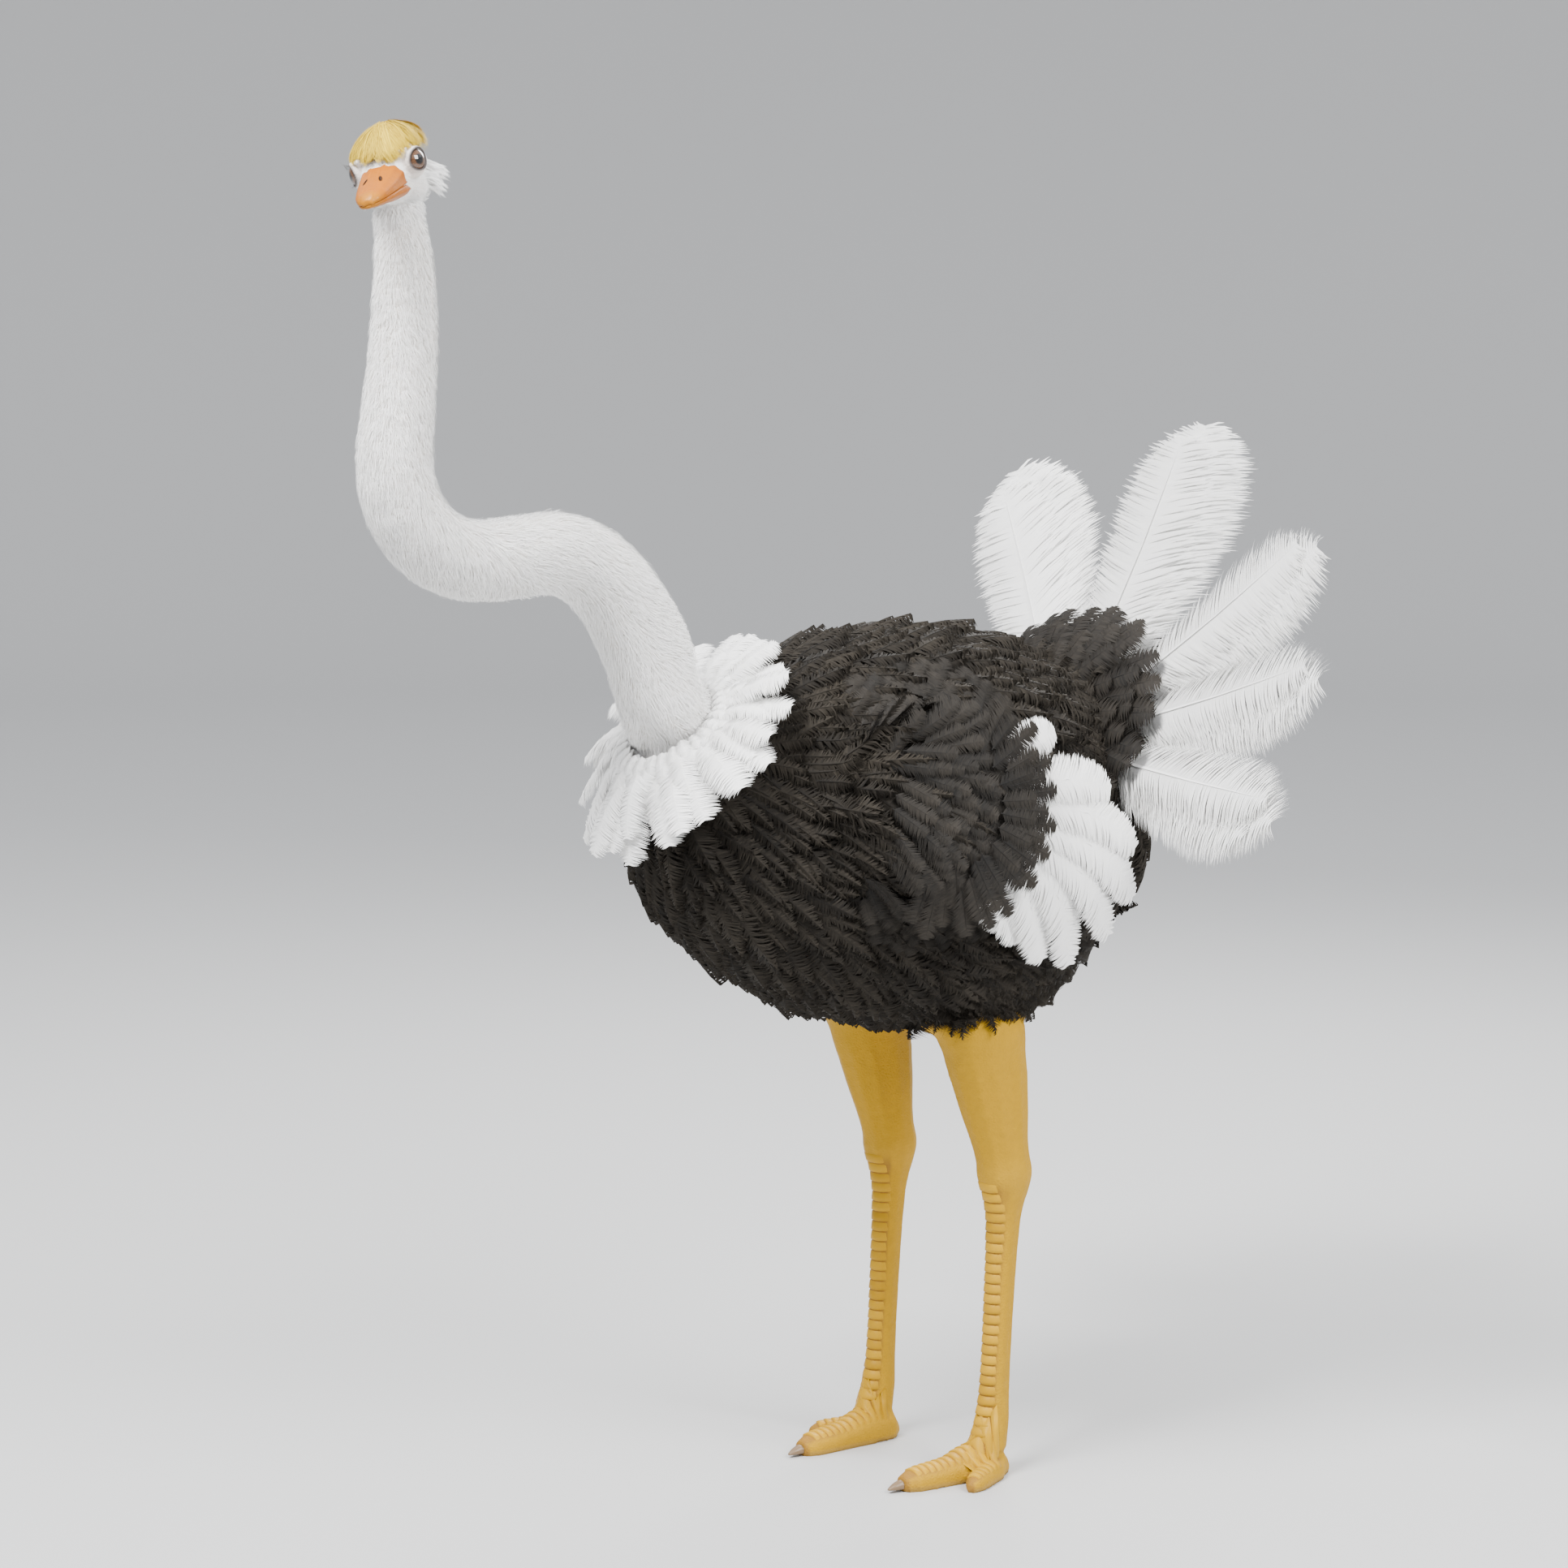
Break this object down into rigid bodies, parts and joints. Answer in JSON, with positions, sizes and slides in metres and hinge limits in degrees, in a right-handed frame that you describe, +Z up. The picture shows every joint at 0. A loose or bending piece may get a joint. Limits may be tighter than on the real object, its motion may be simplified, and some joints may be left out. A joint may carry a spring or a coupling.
{
  "type": "ostrich",
  "caption": "Life-size standing male ostrich with dark body plumage, white plumed wings and tail, a white ruff, a pale S-curved neck and bare yellow legs; a still display model.",
  "frame": {"origin": "middle of the bird's outline as seen from above, at the floor", "axes": "+Z up; the body faces -Y; the bird's own left is +X; the head is turned to its left"},
  "size_m": [1.217, 1.7698, 2.1976],
  "materials": {
    "body_feathers": "matte, loose black feathers over the body",
    "dark_coverts": "matte black feathers, scalloped",
    "white_plumes": "soft white plumes",
    "neck_down": "short white down",
    "head_down": "skin with short white down",
    "crown_feathers": "straw-coloured hair-like feathers",
    "leg_skin": "yellow skin and scales, satin",
    "bill_horn": "smooth orange horn",
    "claws": "smooth horn",
    "eyes": "wet and dark"
  },
  "bodies": {
    "root": {"bill_lower": "bill_horn", "bill_upper": "bill_horn", "claw_left": "claws", "claw_right": "claws", "collar": "white_plumes", "crown": "crown_feathers", "ear_left": "head_down", "ear_right": "head_down", "eye_left": "eyes", "eye_right": "eyes", "head": "head_down", "neck_lower": "neck_down", "neck_middle": "neck_down", "neck_upper": "neck_down", "shank_left": "leg_skin", "shank_right": "leg_skin", "tail_coverts": "dark_coverts", "tail_plume_1": "white_plumes", "tail_plume_2": "white_plumes", "tail_plume_3": "white_plumes", "tail_plume_4": "white_plumes", "tail_plume_5": "white_plumes", "tail_plume_6": "white_plumes", "tail_plume_7": "white_plumes", "thigh_left": "leg_skin", "thigh_right": "leg_skin", "toe_main_left": "leg_skin", "toe_main_right": "leg_skin", "toe_side_left": "leg_skin", "toe_side_right": "leg_skin", "trunk": "body_feathers", "wing_left": "dark_coverts", "wing_left_plumes": "white_plumes", "wing_right": "dark_coverts", "wing_right_plumes": "white_plumes"}
  },
  "joints": []
}
